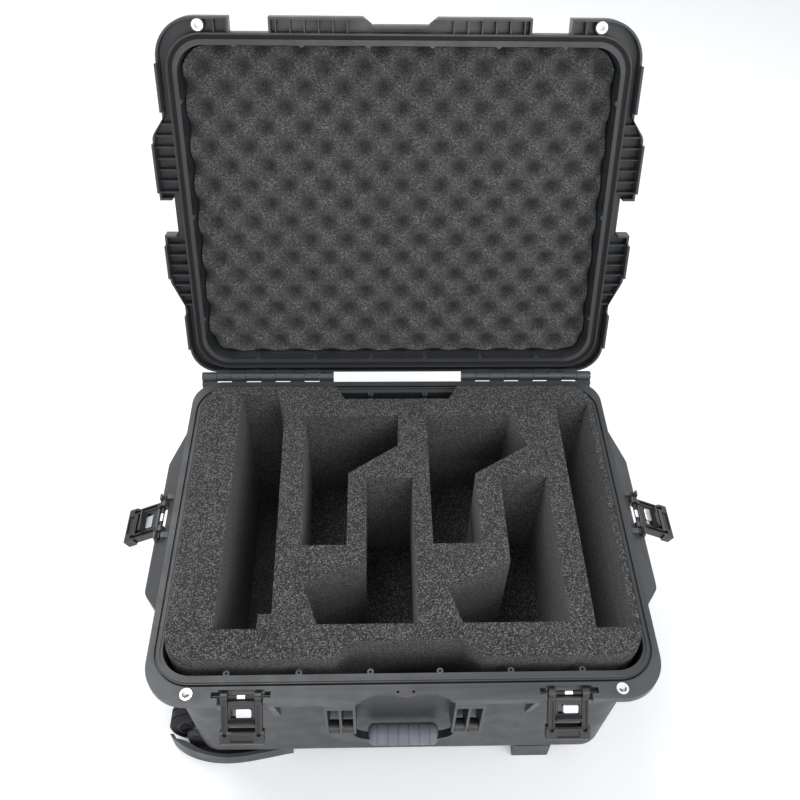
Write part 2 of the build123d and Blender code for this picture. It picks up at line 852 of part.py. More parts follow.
def lid_shell():
    """Lid, closed, with its skirt, rib cells, seal groove, knuckles and roof pads."""
    half_x = cavity_half_x - lid_inset
    front, back = lid_front, cavity_back
    roof = lid_height - parting_gap - lid_pad_height
    corner = lid_corner + wall
    outline = plate(half_x + wall, front - wall, back + wall, corner, corner)
    outer = extrude(Pos(0, 0, lid_base) * outline, amount=roof, taper=lid_draft)
    outer = fillet(outer.edges().group_by(Axis.Z)[-1], lid_fillet + wall)
    inner = extrude(
        Pos(0, 0, lid_base) * plate(half_x, front, back, lid_corner, lid_corner),
        amount=roof - wall,
        taper=lid_draft,
    )
    inner = fillet(inner.edges().group_by(Axis.Z)[-1], lid_fillet)

    height = lid_flange_top - lid_base
    flange = extrude(Pos(0, 0, lid_base) * lid_outline(0), amount=height)
    channel = extrude(
        Pos(0, 0, lid_base) * (lid_outline(lid_skirt_wall) - lid_core(0)), amount=height - lid_flange_plate
    )
    shell = outer + (flange - channel) + lid_ribs(flange) + lid_skirts() + lid_roof_pads()
    web = [
        (rim_back - 4, lid_base),
        (hinge_y, lid_base),
        (hinge_y, hinge_z + knuckle_radius),
        (rim_back - 4, lid_flange_top - 2),
    ]
    relief = rod(knuckle_inner - 2, knuckle_outer + 4, hinge_standoff - 0.3, "X", (hinge_y, hinge_z))
    shell -= relief + mirror(relief, about=Plane.YZ)
    shell += knuckles(1, web)
    keep = plate(half_x + wall / 2, front - wall / 2, back + wall / 2, lid_corner, lid_corner)
    shell += lid_bosses() & extrude(Pos(0, 0, lid_base) * keep, amount=2 * height)
    shell -= inner - lid_bosses()
    shell -= offset_loop(*ridge_line, gasket_width + 0.4, lid_base - 1, gasket_top() + 0.1)
    shell += offset_loop(*groove_line, tongue_width, rim_height - tongue_depth, lid_base + 1)
    for x in (-eyelet_x, eyelet_x):
        shell += rod(lid_base, lid_flange_top - 1, eyelet_flange + 1.5, "Z", (x, eyelet_y)) & flange
        shell -= rod(lid_base - 1, lid_flange_top + 1, eyelet_outer + running_clearance, "Z", (x, eyelet_y))
        seat = lid_base + eyelet_flange_thickness
        shell -= rod(lid_base - 1, seat, eyelet_flange + running_clearance, "Z", (x, eyelet_y))
    return shell


def gasket_top():
    """Height of the seal groove's roof in the lid."""
    return rim_height + ridge_height + gasket_gap + gasket_height


def lid_gasket():
    """Closed ring of seal strip, drawn with the lid closed."""
    low = rim_height + ridge_height + gasket_gap
    return offset_loop(*ridge_line, gasket_width, low, low + gasket_height)


def lid_ribs(flange):
    """Thin cross ribs that divide the lid's channel into cells."""
    low, high = lid_base + 2, lid_flange_top - 1
    ribs = None
    x = long_bump_inner + lid_rib_pitch * 0.6
    while x < front_latch_x - gap_half - 6:
        rib = block(x, x + lid_rib, rim_front, lid_lip_front + 2, low, high)
        ribs = rib if ribs is None else ribs + rib
        x += lid_rib_pitch
    x = front_latch_x + gap_half + lid_rib_pitch
    ribs += block(x, x + lid_rib, rim_front, lid_lip_front + 2, low, high)
    y = bulge_front + 12
    while y < bulge_back - 8:
        if abs(y - side_latch_y) > gap_half + 6:
            ribs += block(cavity_half_x + 8, lid_half_x + bulge_reach, y, y + lid_rib, low, high)
        y += side_rib_pitch
    return both_sides(ribs) & flange


def lid_skirts():
    """Lower lips on the straight side stretches, outside the tub's flange."""
    low = rim_height - lid_side_skirt
    top = lid_flange_top - 1
    outer = lid_half_x
    shape = None
    straight = (rim_front + flange_front_corner + 5, rim_back - flange_back_corner - 3)
    spans = ((straight[0], bulge_front - 4), (bulge_back + 3, straight[1]))
    for start, end in spans:
        lip = block(outer - lid_skirt_wall, outer, start, end, low, top)
        shape = lip if shape is None else shape + lip
    far = rim_half_x + bulge_reach
    clear = notch_half + pin_pocket + 3
    full = (bulge_front + bulge_front_taper + 8, bulge_back - bulge_back_taper - 8)
    for start, end in ((full[0], side_latch_y - clear), (side_latch_y + clear, full[1])):
        shape += block(far - lid_skirt_wall, far, start, end, low + 1.5, top)
    return both_sides(shape)


def lid_bosses():
    """Screw bosses round the lid's opening."""
    low, high = lid_base + 0.5, lid_flange_top - 3
    posts = None
    front = lid_front - boss_embed
    back = cavity_back + boss_embed
    side = cavity_half_x - lid_inset + boss_embed
    places = [(x, y) for x in boss_places for y in (front, back)]
    places += [(side, y) for y in side_boss_places]
    for x, y in places:
        post = rod(low, high, boss_radius, "Z", (x, y)) - rod(low - 1, high - 4, boss_hole, "Z", (x, y))
        posts = post if posts is None else posts + post
    return both_sides(posts)


def lid_roof_pads():
    """Raised panels on the roof, three across and two deep."""
    base = rim_height + lid_height - lid_pad_height
    width = (2 * (cavity_half_x - lid_pad_margin) - 2 * lid_pad_gap) / 3
    depth = (cavity_back - cavity_front - 2 * lid_pad_margin - lid_pad_gap) / 2
    middle_y = (cavity_back + cavity_front) / 2
    pads = None
    for column in (-1, 0, 1):
        for row in (-1, 1):
            x = column * (width + lid_pad_gap)
            y = middle_y + row * (depth + lid_pad_gap) / 2
            pad = extrude(Pos(x, y, base - 1) * RectangleRounded(width, depth, 12), amount=lid_pad_height + 1)
            pad = chamfer(pad.edges().group_by(Axis.Z)[-1], 1.5)
            pads = pad if pads is None else pads + pad
    return pads


def eyelets(low, high, flange_low):
    """Two steel eyelets between two heights, with the flange at the parting plane."""
    rings = []
    for x in (-eyelet_x, eyelet_x):
        ring = rod(low, high, eyelet_outer, "Z", (x, eyelet_y))
        ring += rod(flange_low, flange_low + eyelet_flange_thickness, eyelet_flange, "Z", (x, eyelet_y))
        rings.append(ring - rod(low - 1, high + 1, eyelet_bore, "Z", (x, eyelet_y)))
    return rings


def pocket(points, floor_height, place=Pos(0, 0)):
    """Knife-cut space in the foam, open at the top."""
    outline = place * make_face(Polyline(points, close=True))
    return extrude(Pos(0, 0, floor_height) * outline, amount=foam_top + 1 - floor_height)


def console_pocket():
    """Pocket for the console, with a ledge beside it and a bevelled corner."""
    left = console_side_margin - cavity_half_x
    front = cavity_front + console_front_margin
    back = cavity_back - console_back_margin
    right = left + console_width
    points = [
        (left, front),
        (right, front),
        (right, front + console_ledge_start),
        (right + console_ledge, front + console_ledge_start),
        (right + console_ledge - console_lean, back - console_bevel),
        (right, back),
        (left, back),
    ]
    return pocket(points, foam_low - 1)


def slot_pocket():
    """Narrow straight slot at the right."""
    right = cavity_half_x - slot_side_margin
    front, back = cavity_front + slot_front_margin, cavity_back - slot_back_margin
    return block(right - slot_width, right, front, back, foam_low - 1, foam_top + 1)


def microphone_pocket(place, end, shoulder, shoulder_drop, waist_drop, lean):
    """Pocket with a wide end for a mount and a narrow part for the body."""
    x, y, turn = place
    points = [
        (0, 0),
        (end, 0),
        (shoulder, -shoulder_drop),
        (mic_neck, -waist_drop),
        (mic_neck, -mic_length),
        (lean, -mic_length),
    ]
    return pocket(points, pocket_floor, Pos(x, y) * Rot(0, 0, turn))


def finger_relief(edge, inward, x, mouth_half, bottom_half, depth):
    """Shallow cut at the middle of a long edge of the foam."""
    points = [
        (x - mouth_half, edge),
        (x - bottom_half, edge + inward * depth),
        (x + bottom_half, edge + inward * depth),
        (x + mouth_half, edge),
        (x + mouth_half, edge - inward * depth),
        (x - mouth_half, edge - inward * depth),
    ]
    return pocket(points, relief_floor)


def foam_layers():
    """Foam block in three glued stacks: above the relief floor, above the pocket floor, and below."""
    body = cavity(foam_clearance) & block(-beyond, beyond, foam_front, beyond, foam_low, rim_height)
    top = plate(
        cavity_half_x - foam_clearance, foam_front, foam_back, foam_corner, cavity_corner - foam_clearance
    )
    body &= extrude(Pos(0, 0, foam_low) * top, amount=rim_height - foam_low)
    boss_reach = boss_radius - boss_embed + foam_lid_gap
    proud = plate(
        cavity_half_x - lid_inset - boss_reach, foam_front, cavity_back - boss_reach, foam_corner, foam_corner
    )
    body += extrude(Pos(0, 0, rim_height) * proud, amount=foam_proud)
    body -= console_pocket()
    body -= slot_pocket()
    for values in mic_pockets.values():
        body -= microphone_pocket(*values)
    body -= finger_relief(foam_front, 1, *front_relief)
    body -= finger_relief(foam_back, -1, *back_relief)
    body -= foam_wheel_reliefs()
    heights = (foam_low - 1, pocket_floor, relief_floor, foam_top + 1)
    return [body & block(-beyond, beyond, -beyond, beyond, *span) for span in zip(heights, heights[1:])]


def foam_wheel_reliefs():
    """Corners cut off the foam where the wheel wells stand inside the tub."""
    reach = wheel_radius + wheel_clearance + well_wall + foam_well_clearance
    inner = wheel_y - wheel_width / 2 - wheel_clearance - well_wall - foam_well_clearance
    top = wheel_height + reach
    corners = block(-beyond, wheel_x + reach, -beyond, -inner, 0, top)
    return corners + block(-beyond, wheel_x + reach, inner, beyond, 0, top)


def foam_floor_pad():
    """Plain pad between the tub's floor and the foam block."""
    low = floor_gap + floor_thickness + foam_layer_gap
    high = foam_low - foam_layer_gap
    slab = cavity(foam_clearance) & block(-beyond, beyond, -beyond, beyond, low, high)
    return slab - foam_wheel_reliefs()


def crate_pits(half_x, front, back):
    """Pyramid pits of the egg-crate face; every second row is set half a pitch across."""
    across, along = crate_pitch / 2 - crate_web, crate_row - crate_web
    outline = make_face(Polyline([(-across, 0), (0, -along), (across, 0), (0, along)], close=True))
    pit = extrude(Pos(0, 0, lid_foam_face) * outline, amount=crate_depth, taper=crate_taper)
    pits = []
    columns = int(half_x // crate_pitch) + 1
    rows = int((back - front) // crate_row) + 1
    for row in range(rows):
        y = cavity_front + crate_start[1] + row * crate_row
        for column in range(-columns, columns + 1):
            x = crate_start[0] + (column + row % 2 / 2) * crate_pitch
            if abs(x) < half_x - across and y < back - along:
                pits.append(Pos(x, y, 0) * pit)
    return pits


def lid_foam():
    """Egg-crate sheet, drawn with the lid closed."""
    half_x = cavity_half_x - lid_inset - foam_clearance
    front = lid_front + foam_clearance
    roof = lid_height - parting_gap - lid_pad_height - wall - foam_layer_gap
    outline = plate(half_x, front, foam_back, lid_corner, lid_corner)
    shape = extrude(Pos(0, 0, lid_base) * outline, amount=roof, taper=lid_draft)
    shape = fillet(shape.edges().group_by(Axis.Z)[-1], lid_fillet)
    shape &= block(-beyond, beyond, -beyond, beyond, lid_foam_face, rim_height + lid_height)
    return shape.cut(*crate_pits(half_x, front, foam_back))


def latch_lever():
    """Frame with a barrel, two arms, a cross bar and a grip with a sunk panel; drawn level."""
    arm_top, arm_low = latch_face, -latch_back
    window = latch_window_half
    body = rod(-latch_arm_half, latch_arm_half, latch_barrel)
    body += block(-latch_arm_half, latch_arm_half, 0, latch_length - 6, arm_low, arm_top)
    body -= block(-window, window, -latch_barrel - 1, latch_bar_start - 7, -20, 20)
    body -= block(-window, window, latch_bar_start - 4, latch_bar_start, -20, 20)
    body -= block(-window, window, latch_bar_start - 8, latch_bar_start + 1, -2.0, 20)
    grip = block(-latch_bar_half, latch_bar_half, latch_bar_start, latch_length, arm_low - 1.5, arm_top + 1.5)
    grip = chamfer(grip.edges().filter_by(Axis.X), 2.0)
    grip = chamfer(grip.edges().filter_by(Axis.Z).group_by(Axis.Y)[-1], 1.6)
    body += grip
    body -= block(-13, 13, latch_bar_start + 4, latch_length - 4, arm_top, arm_top + 5)
    for side in (-1, 1):
        middle = side * (latch_arm_half + window) / 2
        groove = block(middle - 1.6, middle + 1.6, 9, latch_bar_start + 3, arm_top - 2, arm_top + 5)
        groove += rod(arm_top - 2, arm_top + 5, 2.6, "Z", (middle, latch_bar_start + 3))
        body -= groove
    body -= rod(-40, 40, latch_pin_radius + running_clearance)
    hole = rod(-40, 40, claw_pin_radius + running_clearance, "X", (claw_pin_reach, claw_pin_drop))
    return body - hole


def latch_claw():
    """Tongue on the claw pin, with the slide's window and a hook at its end; drawn level."""
    top = claw_pin_drop + claw_thickness / 2 + 1.0
    low = claw_pin_drop - claw_thickness / 2
    eye = rod(-claw_half, claw_half, claw_eye, "X", (claw_pin_reach, claw_pin_drop))
    tongue = block(-claw_half, claw_half, claw_pin_reach, claw_length, low, top)
    profile = [
        (claw_hook_start, top - 1),
        (claw_hook_start, claw_hook_rise),
        (claw_length - 2, claw_hook_rise - 0.6),
        (claw_length, top - 1),
    ]
    claw = eye + tongue + side_profile(profile, -claw_half, claw_half)
    claw -= block(-slide_window_half, slide_window_half, slide_start, slide_end, low - 1, top + 1)
    return claw - rod(-40, 40, claw_pin_radius + running_clearance, "X", (claw_pin_reach, claw_pin_drop))


def latch_slide():
    """Slide lock in the claw's window, with a rounded cap; drawn level, at the unlocked end."""
    top = claw_pin_drop + claw_thickness / 2 + 1.0
    low = claw_pin_drop - claw_thickness / 2
    start, end = slide_start + slide_clearance, slide_end - slide_clearance
    bar = block(-slide_half, slide_half, start, end, low, top + 1.2)
    bar = fillet(bar.edges().filter_by(Axis.Z), 2.2)
    bar = chamfer(bar.edges().group_by(Axis.Z)[-1], 0.8)
    return Pos(-slide_travel / 2, 0, 0) * bar


def claw_pin():
    """Pin that carries the claw in the lever's arms."""
    return rod(-latch_arm_half, latch_arm_half, claw_pin_radius, "X", (claw_pin_reach, claw_pin_drop))


def latch_pins():
    """The four pivot pins, seated in the tub's saddles."""
    half = notch_half + pin_pocket - 0.5
    return [at_latch(name) * rod(-half, half, latch_pin_radius) for name in latch_mounts()]


def wheel_parts(side):
    """Hub, tyre, bush and axle of one wheel; side is -1 in front and 1 at the rear."""
    middle = side * wheel_y
    half = wheel_width / 2
    hub_half = half - hub_inset
    centre = (wheel_x, wheel_height)
    rim_radius = wheel_radius - tyre_depth
    hub = rod(middle - hub_half, middle + hub_half, rim_radius, "Y", centre)
    for face in (-1, 1):
        start, end = sorted((middle + face * hub_web / 2, middle + face * half))
        dish = rod(start, end, rim_radius - hub_wall, "Y", centre)
        hub -= dish - rod(start, end, bush_radius + hub_wall, "Y", centre)
    spoke_start, spoke_end = bush_radius + hub_wall / 2, rim_radius - hub_wall / 2
    spoke = block(spoke_start, spoke_end, 1 - hub_half, hub_half - 1, -hub_spoke / 2, hub_spoke / 2)
    for index in range(hub_spokes):
        hub += Pos(wheel_x, middle, wheel_height) * Rot(0, index * 360 / hub_spokes, 0) * spoke
    hub -= rod(middle - half, middle + half, bush_radius, "Y", centre)
    tyre = rod(middle - half, middle + half, wheel_radius, "Y", centre)
    tyre = chamfer(tyre.edges(), tyre_chamfer)
    tyre -= rod(middle - half - 1, middle + half + 1, rim_radius, "Y", centre)
    for offset in (-tread_offset, tread_offset):
        y = middle + offset
        groove = rod(y - 1, y + 1, wheel_radius + 1, "Y", centre)
        tyre -= groove - rod(y - 2, y + 2, wheel_radius - tread_depth, "Y", centre)
    bush = rod(middle - hub_half, middle + hub_half, bush_radius, "Y", centre)
    bush -= rod(middle - half, middle + half, axle_radius + running_clearance, "Y", centre)
    reach = wheel_y + half + wheel_clearance + fender_wall
    inner = wheel_y - half - wheel_clearance - well_wall
    start, end = sorted((side * inner, side * reach))
    axle = rod(start, end, axle_radius, "Y", centre)
    return hub, tyre, bush, axle


def fender_plan(inset):
    """Plan outline of the front fender, less an inset; its open side is against the wheel."""
    open_side = -wheel_y - wheel_width / 2 - wheel_clearance - inset
    well_edge = wheel_x + wheel_radius + fender_step - inset
    reach = -fender_reach + inset
    tail = fender_tail - inset
    tip = fender_tip + inset
    curve = Spline(
        [
            (tip, open_side - 1),
            (tip + 15, open_side - fender_wall - 8 + 2 * inset),
            (wheel_x + 2 + inset / 2, reach + 5),
            (wheel_x + 40, reach),
            (wheel_x + 80, reach + 4),
            (tail, reach + 13),
        ]
    )
    closing = Polyline(
        [
            (tail, reach + 13),
            (tail, open_side + fender_width - 6),
            (well_edge, open_side + fender_width),
            (well_edge, open_side),
            (tip, open_side),
            (tip, open_side - 1),
        ]
    )
    return make_face([curve, closing])


def wheel_fender(side):
    """Hollow boat-shaped moulding below a left corner; its arm holds the axle's outer end."""
    open_side = -wheel_y - wheel_width / 2 - wheel_clearance
    well_edge = wheel_x + wheel_radius + fender_step
    hull = extrude(fender_plan(0), amount=fender_height)
    hull -= extrude(Pos(0, 0, fender_floor) * fender_plan(fender_wall), amount=fender_height)
    hull -= block(
        fender_tip + fender_wall,
        well_edge - fender_wall,
        open_side - fender_wall - 0.5,
        open_side + 1,
        fender_floor,
        fender_height + 1,
    )
    hull -= end_profile(
        [
            (fender_tail - 1, floor_gap - fender_gap),
            (well_edge - 5, floor_gap - fender_gap),
            (fender_tip - 5, fender_height - 2),
            (fender_tip - 5, fender_height + 5),
            (fender_tail + 1, fender_height + 5),
        ],
        -fender_reach - 5,
        open_side + fender_width + 5,
    )
    arm_side = open_side - fender_wall
    hull += rod(arm_side, open_side, axle_boss, "Y", (wheel_x, wheel_height))
    hull += block(wheel_x - axle_boss, wheel_x + axle_boss, arm_side, open_side, 0, wheel_height)
    outline = plate(wall_out_x, wall_front, wall_back, cavity_corner + wall, cavity_corner + wall)
    depth = rim_height - floor_gap + fender_gap
    tub = extrude(Pos(0, 0, rim_height) * outline, amount=depth, dir=(0, 0, -1), taper=tub_draft)
    hull -= tub - wheel_well(-1, -fender_gap)
    hull -= rod(-fender_reach, 0, axle_radius + running_clearance, "Y", (wheel_x, wheel_height))
    return hull if side < 0 else mirror(hull, about=Plane.XZ)


def tube(size, thickness, left, right, y):
    """Rectangular tube with rounded edges, along X."""
    inner = tuple(span - 2 * thickness for span in size)
    bore = bar_stock(inner, tube_corner - thickness, left - 1, right + 1, y)
    return bar_stock(size, tube_corner, left, right, y) - bore


def bar_stock(size, corner, left, right, y):
    """Solid bar with rounded edges, along X."""
    across, tall = size
    section = Plane(origin=(left, y, trolley_height), x_dir=(0, 0, 1), z_dir=(1, 0, 0))
    return extrude(section * RectangleRounded(tall, across, corner), amount=right - left)


def next_tube(size):
    """Size of the tube that runs inside the given one."""
    step = 2 * (tube_wall + tube_clearance)
    return (size[0] - step, size[1] - step)


def tube_pair(size, left, right):
    """One tube stage on both sides of the middle skid."""
    return [tube(size, tube_wall, left, right, y) for y in (-trolley_y, trolley_y)]


def trolley_brackets():
    """Collars that hold the outer tubes to the underside at both ends."""
    pieces = []
    across, tall = outer_tube
    for y in (-trolley_y, trolley_y):
        for x in (outer_tube_left + bracket_end_gap, outer_tube_right - bracket_length):
            half, outer = across / 2, across / 2 + bracket_lug
            bottom, top = trolley_height - tall / 2, trolley_height + tall / 2
            collar = block(x, x + bracket_length, y - outer, y + outer, bracket_clearance, floor_gap)
            pieces.append(collar - block(x - 1, x + bracket_length + 1, y - half, y + half, bottom, top))
    return pieces


def trolley_grip():
    """Cross grip on the inner tubes, with a hand gap beside the tub's end wall."""
    left = trolley_grip_left
    right = left + trolley_grip_width
    half = trolley_grip_height / 2
    low, high = trolley_height - half, trolley_height + half
    bar = block(left, right, -trolley_grip_half, trolley_grip_half, low, high)
    bar = fillet(bar.edges().filter_by(Axis.Y), 7)
    floor = right - button_body - button_travel - button_clearance
    side = button_half + button_clearance
    tall = button_width / 2 + button_clearance
    bar -= block(floor, right + 1, -side, side, trolley_height - tall, trolley_height + tall)
    size = next_tube(next_tube(outer_tube))
    inner = tuple(span - 2 * tube_wall - 2 * plug_clearance for span in size)
    for y in (-trolley_y, trolley_y):
        bar += bar_stock(inner, tube_corner - tube_wall, left - plug_length, left + 1, y)
    return bar


def trolley_button():
    """Release button in the grip; it travels inward."""
    right = trolley_grip_left + trolley_grip_width
    tall = button_width / 2
    button = block(
        right - button_body,
        right + button_rise,
        -button_half,
        button_half,
        trolley_height - tall,
        trolley_height + tall,
    )
    return fillet(button.edges().group_by(Axis.X)[-1], 1.2)


def open_lid(shape):
    """Turn a part drawn with the lid closed to where the lid rests open."""
    return shape.rotate(Axis((0, hinge_y, hinge_z), (1, 0, 0)), -lid_open_angle)


def all_parts():
    """Every node of the case, by name."""
    lower_foam, middle_foam, upper_foam = foam_layers()
    base_rings = eyelets(rim_height - flange_skirt, rim_height, rim_height - eyelet_flange_thickness)
    parts = {
        "base_shell": base_shell(),
        "base_foam_block": upper_foam,
        "base_foam_middle": middle_foam,
        "base_foam_lower": lower_foam,
        "base_foam_pad": foam_floor_pad(),
        "base_eyelets": solid_group(base_rings),
        "hinge_pins": solid_group(hinge_pins()),
        "latch_pins": solid_group(latch_pins()),
        "vent_cap": vent_cap(0),
        "lid_shell": open_lid(lid_shell()),
        "lid_gasket": open_lid(lid_gasket()),
        "lid_foam": open_lid(lid_foam()),
        "lid_eyelets": open_lid(solid_group(eyelets(lid_base, lid_flange_top, lid_base))),
    }
    for name in latch_mounts():
        place = at_latch(name)
        parts[f"latch_lever_{name}"] = place * latch_lever()
        parts[f"latch_claw_{name}"] = place * latch_claw()
        parts[f"latch_slide_{name}"] = place * latch_slide()
        parts[f"latch_claw_pin_{name}"] = place * claw_pin()
    for name in handle_places():
        place = at_handle(name)
        parts[f"handle_frame_{name}"] = place * handle_frame()
        parts[f"handle_grip_{name}"] = place * handle_grip()
        parts[f"handle_pins_{name}"] = solid_group([place * pin for pin in handle_pins()])
    for name, side in (("front", -1), ("rear", 1)):
        hub, tyre, bush, axle = wheel_parts(side)
        parts[f"wheel_hub_{name}"] = hub
        parts[f"wheel_tyre_{name}"] = tyre
        parts[f"wheel_bush_{name}"] = bush
        parts[f"wheel_axle_{name}"] = axle
        parts[f"wheel_fender_{name}"] = wheel_fender(side)
    middle = next_tube(outer_tube)
    stages = {
        "outer": tube_pair(outer_tube, outer_tube_left, outer_tube_right),
        "middle": tube_pair(middle, middle_tube_left, outer_tube_right + middle_tube_reach),
        "inner": tube_pair(next_tube(middle), inner_tube_left, trolley_grip_left),
    }
    for name, tubes in stages.items():
        parts[f"trolley_{name}_tubes"] = solid_group(tubes)
    parts["trolley_brackets"] = solid_group(trolley_brackets())
    parts["trolley_grip"] = trolley_grip()
    parts["trolley_button"] = trolley_button()
    return parts


os.makedirs("parts", exist_ok=True)
for node, shape in all_parts().items():
    export_step(shape, f"parts/{node}.step")
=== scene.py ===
import json
import math

import bmesh
import bpy
from mathutils import Matrix, Vector, noise


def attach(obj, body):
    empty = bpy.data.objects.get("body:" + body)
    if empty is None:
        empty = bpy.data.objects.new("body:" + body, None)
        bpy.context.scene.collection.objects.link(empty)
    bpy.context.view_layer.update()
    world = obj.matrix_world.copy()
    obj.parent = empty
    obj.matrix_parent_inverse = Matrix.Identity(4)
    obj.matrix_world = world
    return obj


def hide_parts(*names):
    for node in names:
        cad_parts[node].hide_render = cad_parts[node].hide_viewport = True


# The looks of a wheeled hard case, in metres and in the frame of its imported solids.
# X is to the right, Y to the hinge side and Z up, with the ground at Z = 0.

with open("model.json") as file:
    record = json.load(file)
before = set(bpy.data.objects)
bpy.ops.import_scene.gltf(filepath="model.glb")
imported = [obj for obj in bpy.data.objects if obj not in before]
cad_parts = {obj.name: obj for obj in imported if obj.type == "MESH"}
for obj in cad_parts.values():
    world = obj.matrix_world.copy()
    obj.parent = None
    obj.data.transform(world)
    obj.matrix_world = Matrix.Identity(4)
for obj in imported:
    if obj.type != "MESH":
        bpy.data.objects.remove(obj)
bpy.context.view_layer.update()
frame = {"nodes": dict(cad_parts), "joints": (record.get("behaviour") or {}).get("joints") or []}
nodes = frame["nodes"]

# Camera, solved from the corners of the case's rim, with its focal length in pixels
CAMERA_PLACE = Vector((-0.0326, -0.6445, 1.2464))
CAMERA_PITCH = math.radians(48.56)
CAMERA_YAW = math.radians(2.41)
CAMERA_ROLL = math.radians(1.56)
CAMERA_FOCAL = 870.3
PICTURE_WIDTH = 800.0
SENSOR_WIDTH = 36.0

# Surroundings
BACKGROUND_COLOUR = (1, 1, 1)
BACKGROUND_LEVEL = 1.0
WORLD_COLOUR = (0.96, 0.98, 1.0)
WORLD_LEVEL = 0.46
FLOOR_SIZE = 14.0
FLOOR_COLOUR = (0.93, 0.945, 0.97)
FLOOR_SHADE = 0.995
FLOOR_GLOW_COLOUR = (1, 1, 1)
FLOOR_GLOW = 0.22

# Name, place, width in metres and power in watts of each soft panel
PANELS = (
    ("key_panel", (-0.8, 1.0, 2.5), 2.2, 44.0),
    ("fill_panel", (1.5, -1.5, 2.3), 1.8, 30.0),
    ("front_panel", (0.1, -2.3, 1.5), 1.5, 18.0),
)
PANEL_TARGET = Vector((0, 0, 0.3))

# Foam: colours, then pores, specks and plies
FOAM_COLOUR = (0.066, 0.067, 0.069)
# Colour of the painted shade on steep faces of the cut foam
FOAM_STEEP_SHADE_COLOUR = (0.056, 0.058, 0.063)
FOAM_SPECK_COLOUR = (0.21, 0.21, 0.205)
FOAM_PORE_COLOUR = (0.015, 0.016, 0.018)
FOAM_CELL = 0.0019
FOAM_GRAIN = 0.0011
FOAM_RELIEF = 0.0009
FOAM_PLY = 0.034
PLY_LINE_OUTSIDE = 0.0009
PLY_LINE_INSIDE = 0.0004

# Foam block: the height of its top, the roundness of its edges, and how far its rim swells
FOAM_TOP = 0.306
FOAM_EDGE = 0.0014
FOAM_SEAM = 0.0004
EDGE_PROFILE = 0.6
EDGE_ANGLE = math.radians(50)
FLAT_ANGLE = math.radians(0.5)
WELD = 1e-5
RIM_HEIGHT = 0.290
RIM_SIDE = 0.24
RIM_BACK = 0.2
FOAM_SWELL = Vector((0.0042, 0.0012))

# Egg-crate foam in the lid: pits stand in rows, every second row shifted by half a pitch
CRATE_PITCH = 0.051
CRATE_ROW = 0.0257
CRATE_PIT = Vector((0.003, -0.190))
CRATE_DEPTH = 0.021
CRATE_STEP = 0.0036
# Colour of the painted shade in the egg-crate pits
CRATE_PIT_PAINTED_SHADE = (0.022, 0.023, 0.025)
CRATE_SHARPNESS = 1.6
CRATE_SINK = 0.0006
CRATE_ROUGHNESS = 0.0012
CRATE_ROUGH_WAVES = 55.0
CRATE_MARGIN = 0.001
CRATE_CORNER = 0.034
CRATE_BACK_GAP = 0.006
CRATE_BACK_WIDTH = 0.985
CRATE_BACK_LENGTH = 0.98

# Plastics and metals
SHELL_COLOUR = (0.030, 0.032, 0.035)
LATCH_COLOUR = (0.010, 0.0105, 0.011)
HANDLE_COLOUR = (0.012, 0.0125, 0.013)
GRIP_COLOUR = (0.165, 0.170, 0.198)
SEAL_COLOUR = (0.006, 0.006, 0.0065)
TYRE_COLOUR = (0.014, 0.014, 0.015)
HUB_COLOUR = (0.045, 0.046, 0.05)
BUSH_COLOUR = (0.30, 0.30, 0.29)
STEEL_COLOUR = (0.86, 0.86, 0.85)
DARK_STEEL_COLOUR = (0.035, 0.035, 0.036)
SLIDE_COLOUR = (0.56, 0.57, 0.60)
TUBE_COLOUR = (0.48, 0.49, 0.51)
POLISH_RELIEF = 0.00004

# Pivot pins, bare steel this far to both sides of the middle of their latch
PIN_BARE_HALF = 0.0045
PIN_JOINTS = (("latch_front_right_swing", "X"), ("latch_side_right_swing", "Y"))

# Noise of the surfaces, in waves per metre
CLOUD_WAVES = 7.0
FLECK_WAVES = 160.0
GLOSS_WAVES = 40.0
DUST_WAVES = 45.0
POLISH_WAVES = 900.0
TARNISH_WAVES = 120.0
FOAM_CLOUD_WAVES = 28.0
PAPER_WAVES = 3.0

# Angles in degrees above which an edge is drawn sharp
CAD_SHARP = 30
BLOCK_SHARP = 40
CRATE_SHARP = 50


